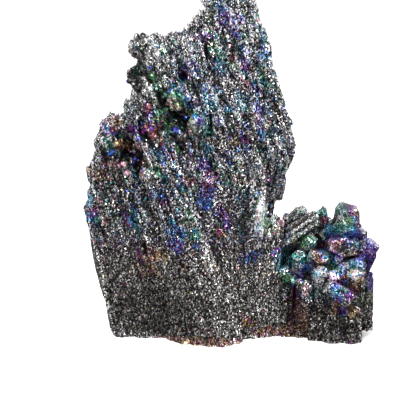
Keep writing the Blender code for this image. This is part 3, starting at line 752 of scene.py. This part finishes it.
def crust(name, plan, large):
    """The solid's surface as an even fine mesh, filled and roughened along the growth."""
    obj = part_of_solid(name, plan.keeps, plan.overlap)
    if plan.keeps == "INTERSECT":
        build = bmesh.new()
        build.from_mesh(obj.data)
        build.from_mesh(large)
        build.to_mesh(obj.data)
        build.free()
    even = obj.modifiers.new("even", "REMESH")
    even.mode = "VOXEL"
    even.voxel_size = plan.step * MM
    mesh = apply_modifiers(obj)
    spots = read(mesh.vertices, "co", 3).astype(float) / MM
    normals = read(mesh.vertices, "normal", 3).astype(float)
    hollow, smooth = hollowness(mesh, spots, normals, plan.grooves)
    fill = np.where(in_block(spots), table_at(BLOCK_FILL, spots[:, 2]), table_at(FILL, spots[:, 2]))
    free = free_at(spots)
    fill *= (hollow > 0) * (1 - FREE_UNFILLED * free)
    flat = np.clip(-FLATTEN_TURN * normals[:, 1] - FLATTEN_START, 0, FLATTEN) * (hollow < 0) * (1 - free)
    flat = np.where(in_block(spots, BLOCK_BASE), 0, flat)
    spots += (smooth - spots) * (fill + flat)[:, None]
    hollow *= 1 - fill - flat
    axes = growth_axes(spots)
    height = np.zeros(len(spots))
    for across, along, rise in plan.relief:
        own_place = across * 10
        height += NOISE_GAIN * rise * noise_at(spots, axes, across, along, own_place)
    height *= np.where(in_block(spots, BLOCK_BASE), FACET_RELIEF, 1)
    height = np.clip(height, *RELIEF_LIMITS) + plan.proud - STRIPE_DEPTH * stripes_at(spots)
    spots += normals * np.where(spots[:, 2] < plan.step, 0, height)[:, None]
    for *mark, right, rise in PRESSED:
        pull = np.clip(PRESSED_END - far_from(spots, mark, 0), 0, 1)
        spots[:, 0] += right * pull
        spots[:, 2] += rise * pull
    depth, _ = pits_at(spots)
    spots[:, 1] += depth * (spots[:, 2] > plan.step)
    spots[:, 2] = np.maximum(spots[:, 2], 0)
    mesh.vertices.foreach_set("co", (spots * MM).astype(np.float32).ravel())
    mesh.update()
    mesh.polygons.foreach_set("use_smooth", np.zeros(len(mesh.polygons), bool))
    return obj, hollow


def hollowness(mesh, spots, normals, grooves):
    """How deep each point lies in a groove, from -1 on a ridge to 1, and the smoothed surface."""
    one, other = read(mesh.edges, "vertices", 2, np.int32).T
    ends, starts = np.concatenate([one, other]), np.concatenate([other, one])
    near = np.maximum(np.bincount(ends, minlength=len(spots)), 1)
    smooth, done, hollow = spots, 0, 0
    for smoothings, depth, share in grooves:
        for _ in range(smoothings - done):
            sums = [np.bincount(ends, smooth[starts, axis], len(spots)) for axis in range(3)]
            smooth = np.stack(sums, axis=1) / near[:, None]
        done = smoothings
        found = np.einsum("ij,ij->i", smooth - spots, normals)
        hollow = hollow + share * np.clip(found / depth, -1, 1)
    return np.clip(hollow, -1, 1), smooth


def spots_on(obj, hollow, heights, count, rng):
    """Random spots on the object, more on its front, with their normals and how hollow they lie."""
    mesh = obj.data
    mesh.calc_loop_triangles()
    points = read(mesh.vertices, "co", 3).astype(float) / MM
    triangles = read(mesh.loop_triangles, "vertices", 3, np.int32)
    a, b, c = (points[triangles[:, k]] for k in range(3))
    cross = np.cross(b - a, c - a)
    size = np.linalg.norm(cross, axis=1)
    normals = cross / np.maximum(size, 1e-12)[:, None]
    low = a[:, 2]
    closer = np.where(normals[:, 1] < FRONT_FACING, FRONT_MORE, 1.0)
    weight = size * closer * (low > LOWEST_SPOT) * table_at(heights, low)
    picked = rng.choice(len(triangles), count, p=weight / weight.sum())
    u, v = rng.random(count), rng.random(count)
    over = u + v > 1
    u, v = np.where(over, 1 - u, u), np.where(over, 1 - v, v)
    spots = a[picked] + (b - a)[picked] * u[:, None] + (c - a)[picked] * v[:, None]
    return spots, normals[picked], hollow[triangles[picked, 0]]


def crystals(name, feet, axes, lengths, widths, sides, rng):
    """One mesh of many closed double pyramids, a little uneven."""
    count = len(feet)
    helper = np.where(np.abs(axes[:, :1]) < 0.7, (1.0, 0.0, 0.0), (0.0, 1.0, 0.0))
    u = unit(np.cross(axes, helper))
    v = np.cross(axes, u)
    step = np.arange(sides)
    shift = rng.uniform(-CORNER_SHIFT, CORNER_SHIFT, (count, sides))
    angle = math.tau * (step + shift + rng.random((count, 1))) / sides
    reach = widths[:, None] / 2 * rng.uniform(*CORNER_REACH, (count, sides))
    ring = (np.cos(angle) * reach)[:, :, None] * u[:, None] + (np.sin(angle) * reach)[:, :, None] * v[:, None]
    span = axes * lengths[:, None]
    middle = feet + span * rng.uniform(*WIDEST_AT, count)[:, None]
    points = np.concatenate([middle[:, None] + ring, feet[:, None], (feet + span)[:, None]], axis=1)
    points[:, :, 2] = np.maximum(points[:, :, 2], LOWEST_POINT)
    after = (step + 1) % sides
    tips = np.stack([step, after, np.full(sides, sides + 1)], axis=1).ravel()
    tails = np.stack([after, step, np.full(sides, sides)], axis=1).ravel()
    pattern = np.concatenate([tips, tails])
    corners = (pattern[None] + (np.arange(count) * points.shape[1])[:, None]).ravel()
    obj = mesh_object(name, points.reshape(-1, 3), corners, np.full(2 * sides * count, 3))
    return obj, np.repeat(np.arange(count), 2 * sides)


def coat(name, plan, skin, hollow, facets, rng):
    """One coat of fine crystals on a crust."""
    spots, normals, hollow = spots_on(skin, hollow, plan.heights, plan.count, rng)
    places = [stripes_at(spots), pits_at(spots)[1], COAT_FREE * free_at(spots), painted_highlight_at(spots)]
    keep = rng.random(len(spots)) > COAT_MISSING * np.maximum.reduce(places)
    spots, normals, hollow = spots[keep], normals[keep], hollow[keep]
    out = normals * rng.uniform(*COAT_OUT, (len(spots), 1)) * plan.proud
    spread = COAT_SPREAD[0] + COAT_SPREAD[1] * (1 - plan.lean)
    axes = unit(growth_axes(spots) * plan.lean + out + rng.normal(0, spread, spots.shape))
    widths = rng.uniform(*plan.width, len(spots))
    lengths = rng.uniform(*plan.length, len(spots))
    lengths *= 1 - plan.lean * (1 - table_at(LOW_LENGTH, spots[:, 2]))
    feet = spots - axes * (lengths * rng.uniform(*COAT_FOOT, len(spots)))[:, None]
    feet -= normals * (widths * plan.sunk)[:, None]
    obj, owner = crystals(name, feet, axes, lengths, widths, plan.sides, rng)
    paint(obj, spots, owner, hollow, facets, rng)
    return obj


def free_crystals(skin, hollow, facets, rng):
    """Larger six-sided crystals with cut-off tips, standing free in the hollow and on the lobes."""
    spots, normals, hollow = spots_on(skin, hollow, ((0, 1), (1, 1)), FREE_TRIES, rng)
    chance = FREE_CHANCE * free_at(spots) * (normals[:, 1] < FREE_FACING)
    keep = rng.random(len(spots)) < chance
    spots, normals, hollow = spots[keep], normals[keep], hollow[keep]
    count, sides = len(spots), CRYSTAL_SIDES
    out = normals * rng.uniform(*FREE_OUT, (count, 1))
    axes = unit(growth_axes(spots) + out + rng.normal(0, FREE_SPREAD, spots.shape))
    widths = rng.uniform(*FREE_WIDTH, count)
    lengths = widths * rng.uniform(*FREE_LENGTH, count)
    feet = spots - axes * (lengths * 0.5)[:, None] - normals * (widths * FREE_SUNK)[:, None]
    u = unit(np.cross(axes, rng.normal(size=spots.shape)))
    v = np.cross(axes, u)
    shift = rng.uniform(-FREE_CORNER, FREE_CORNER, (count, sides))
    angle = math.tau * (np.arange(sides) + shift) / sides
    around = np.cos(angle)[:, :, None] * u[:, None] + np.sin(angle)[:, :, None] * v[:, None]
    rings = []
    for share, up in FREE_RINGS:
        middle = feet + axes * (lengths * up)[:, None]
        rings.append(middle[:, None] + around * (widths / 2 * share)[:, None, None])
    points = np.concatenate(rings, axis=1)
    step = np.arange(sides)
    after = (step + 1) % sides
    wall = np.stack([step, after, after + sides, step + sides], axis=1).ravel()
    levels = len(FREE_RINGS) - 1
    walls = [wall + sides * level for level in range(levels)]
    pattern = np.concatenate([*walls, step[::-1], step + levels * sides])
    totals = np.concatenate([np.full(levels * sides, 4), [sides, sides]])
    corners = (pattern[None] + (np.arange(count) * points.shape[1])[:, None]).ravel()
    obj = mesh_object("free_crystals", points.reshape(-1, 3), corners, np.tile(totals, count))
    owner = np.repeat(np.arange(count), len(totals))
    paint(obj, spots, owner, hollow, facets, rng, faceted=1)
    return obj


def add_node(tree, kind, settings=None, stops=(), **links):
    """A node with its settings, a ramp's stops as (place, sRGB hex), and what goes into its inputs, by name
    or as i and a number: values, links, or nodes, which stand for their first output."""
    made = tree.nodes.new(kind)
    for key, value in (settings or {}).items():
        setattr(made, key, value)
    for number, (place, colour) in enumerate(stops):
        elements = made.color_ramp.elements
        if number == 0:
            elements.remove(elements[-1])
        stop = elements.new(place) if number else elements[0]
        stop.position = place
        stop.color = linear(colour)
    for key, value in links.items():
        socket = made.inputs[int(key[1:]) if key[0] == "i" and key[1:].isdigit() else key.replace("_", " ")]
        if isinstance(value, bpy.types.Node):
            value = value.outputs[0]
        if isinstance(value, bpy.types.NodeSocket):
            tree.links.new(value, socket)
        else:
            socket.default_value = value
    return made


def silicon_carbide():
    """Silicon carbide grown from vapour: black crystals with an almost metallic gloss, each with its own
    shade, some under a thin film of oxide whose thickness gives it a rainbow colour."""
    material = bpy.data.materials.new("silicon_carbide_with_oxide_film")
    material.use_nodes = True
    tree = material.node_tree
    shader = tree.nodes["Principled BSDF"]
    tone, contrast, film, share = (
        add_node(tree, "ShaderNodeAttribute", {"attribute_name": label}).outputs["Fac"]
        for label in ("tone", "contrast", "film", "film_share")
    )
    multiply, multiply_add = {"operation": "MULTIPLY"}, {"operation": "MULTIPLY_ADD"}
    subtract = {"operation": "SUBTRACT"}

    # Each face of a fine crystal is one cell, with its own shade, hue, gloss and tilt.
    place = add_node(tree, "ShaderNodeTexCoord").outputs["Object"]
    turn = (0, GRAIN_TURN, 0)
    squeeze = (1, 1, GRAIN_SQUEEZE)
    grown = add_node(tree, "ShaderNodeMapping", Vector=place, Rotation=turn, Scale=squeeze)
    cell = add_node(tree, "ShaderNodeTexVoronoi", Vector=grown, Scale=1 / (GRAIN * MM))
    shade, hue, gloss = add_node(tree, "ShaderNodeSeparateColor", Color=cell.outputs["Color"]).outputs
    shade = add_node(tree, "ShaderNodeMath", multiply_add, i0=shade, i1=2 * SHADE_REACH, i2=-SHADE_REACH)
    shade = add_node(tree, "ShaderNodeMath", multiply_add, i0=shade, i1=contrast, i2=tone)
    grey = add_node(tree, "ShaderNodeValToRGB", stops=GREYS, Fac=shade)

    # The film's colour goes with its thickness. The lightest faces are painted glints, kept white without
    # film.
    thickness = add_node(tree, "ShaderNodeMath", multiply_add, i0=hue, i1=FILM_SPREAD, i2=film)
    last = len(FILMS) - 1
    half = FILM_SPREAD / 2
    films = [(half + (1 - half) * k / last, colour) for k, colour in enumerate(FILMS.values())]
    rainbow = add_node(tree, "ShaderNodeValToRGB", stops=films, Fac=thickness)
    light = add_node(tree, "ShaderNodeValToRGB", stops=FILM_GREYS, Fac=shade)
    mixing = {"data_type": "RGBA", "blend_type": "MULTIPLY"}
    tinted = add_node(tree, "ShaderNodeMix", mixing, i0=1.0, i6=rainbow, i7=light).outputs[2]
    clamped = {**multiply_add, "use_clamp": True}
    held = add_node(tree, "ShaderNodeMath", clamped, i0=shade, i1=GLINTS_WITHOUT_FILM[0], i2=GLINTS_WITHOUT_FILM[1])
    share = add_node(tree, "ShaderNodeMath", multiply, i0=share, i1=held)
    base = add_node(tree, "ShaderNodeMix", {"data_type": "RGBA"}, i0=share, i6=grey, i7=tinted)
    tree.links.new(base.outputs[2], shader.inputs["Base Color"])
    shader.inputs["Metallic"].default_value = METALLIC
    roughness = add_node(tree, "ShaderNodeMath", multiply_add, i0=gloss, i1=ROUGHNESS_RANGE, i2=ROUGHNESS)
    tree.links.new(roughness.outputs[0], shader.inputs["Roughness"])

    # Each face is tilted its own way, so that it glints apart from its neighbours.
    offset = add_node(tree, "ShaderNodeVectorMath", subtract, i0=grown, i1=cell.outputs["Position"])
    tilt = add_node(tree, "ShaderNodeVectorMath", subtract, i0=cell.outputs["Color"], i1=(0.5, 0.5, 0.5))
    slope = add_node(tree, "ShaderNodeVectorMath", {"operation": "DOT_PRODUCT"}, i0=offset, i1=tilt)
    rise = slope.outputs["Value"]
    bump = add_node(tree, "ShaderNodeBump", Strength=contrast, Distance=TILT, Height=rise)
    tree.links.new(bump.outputs[0], shader.inputs["Normal"])
    return material


def pale_floor():
    """A plain pale floor, far wider than the view."""
    mesh = bpy.data.meshes.new("floor")
    half = FLOOR_HALF
    corners = [(-half, -half, 0), (half, -half, 0), (half, half, 0), (-half, half, 0)]
    mesh.from_pydata(corners, [], [(0, 1, 2, 3)])
    floor = in_scene("floor", mesh)
    material = bpy.data.materials.new("matt_white_paint")
    material.use_nodes = True
    shader = material.node_tree.nodes["Principled BSDF"]
    shader.inputs["Base Color"].default_value = linear(FLOOR_COLOUR)
    shader.inputs["Roughness"].default_value = FLOOR_ROUGHNESS
    mesh.materials.append(material)
    floor.visible_glossy = False


def softbox(name, azimuth, elevation, size, power):
    """A square area light that faces the object."""
    light = bpy.data.lights.new(name, "AREA")
    light.size = size * MM
    light.energy = power
    lamp = in_scene(name, light)
    around, up = math.radians(azimuth), math.radians(elevation)
    away = Vector((math.sin(around) * math.cos(up), -math.cos(around) * math.cos(up), math.sin(up)))
    lamp.location = (Vector(SOFTBOX_MIDDLE) + away * SOFTBOX_DISTANCE) * MM
    lamp.rotation_euler = away.to_track_quat("Z", "Y").to_euler()


def studio():
    """Soft studio light: white all round, but dim in the crystals' reflections, with bright softboxes."""
    world = bpy.data.worlds.new("studio")
    bpy.context.scene.world = world
    world.use_nodes = True
    tree = world.node_tree
    bright = tree.nodes["Background"]
    bright.inputs["Color"].default_value = (1, 1, 1, 1)
    bright.inputs["Strength"].default_value = AROUND
    dim = add_node(tree, "ShaderNodeBackground", Color=REFLECTED_WHITE, Strength=AROUND_REFLECTED)
    ray = add_node(tree, "ShaderNodeLightPath")
    mix = add_node(tree, "ShaderNodeMixShader", i0=ray.outputs["Is Glossy Ray"], i1=bright, i2=dim)
    tree.links.new(mix.outputs[0], tree.nodes["World Output"].inputs["Surface"])
    for row in SOFTBOXES:
        softbox(*row)


def camera():
    """The camera in front of the cluster, ELEVATION above level."""
    data = bpy.data.cameras.new("camera")
    data.sensor_width = SENSOR
    data.lens = SENSOR * DISTANCE / (FRAME_PIXELS * MM_PER_PIXEL)
    data.clip_start = NEAREST
    data.clip_end = FURTHEST
    obj = in_scene("camera", data)
    away = Vector((0, -math.cos(ELEVATION), math.sin(ELEVATION)))
    obj.location = (Vector(TARGET) + away * DISTANCE) * MM
    obj.rotation_euler = (math.pi / 2 - ELEVATION, 0, 0)
    bpy.context.scene.camera = obj


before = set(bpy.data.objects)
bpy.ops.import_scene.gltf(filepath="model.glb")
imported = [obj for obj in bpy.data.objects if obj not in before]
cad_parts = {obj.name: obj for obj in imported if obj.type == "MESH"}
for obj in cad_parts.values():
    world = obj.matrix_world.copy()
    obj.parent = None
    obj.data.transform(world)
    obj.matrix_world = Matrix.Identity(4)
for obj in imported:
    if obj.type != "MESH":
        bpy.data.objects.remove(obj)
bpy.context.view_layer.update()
bpy.context.scene.view_settings.view_transform = "Standard"
rng = np.random.default_rng(SEED)
noise.seed_set(SEED)
large = large_crystals()
facets = facets_of_block(large, rng)
skins = {name: crust(name, plan, large) for name, plan in CRUSTS.items()}
pieces = [coat(name, plan, *skins[plan.crust], facets, rng) for name, plan in COATS.items()]
pieces.append(free_crystals(*skins["slab_crust"], facets, rng))
for skin, hollow in skins.values():
    middles = read(skin.data.polygons, "center", 3).astype(float) / MM
    corners = read(skin.data.loops, "vertex_index", 1, np.int32)[:, 0]
    first = corners[read(skin.data.polygons, "loop_start", 1, np.int32)[:, 0]]
    paint(skin, middles, np.arange(len(middles)), hollow[first], facets, rng)
    pieces.append(skin)
carbide = silicon_carbide()
for piece in pieces:
    piece.data.materials.clear()
    piece.data.materials.append(carbide)
    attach(piece, BODY)
    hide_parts(NODE)
pale_floor()
studio()
camera()
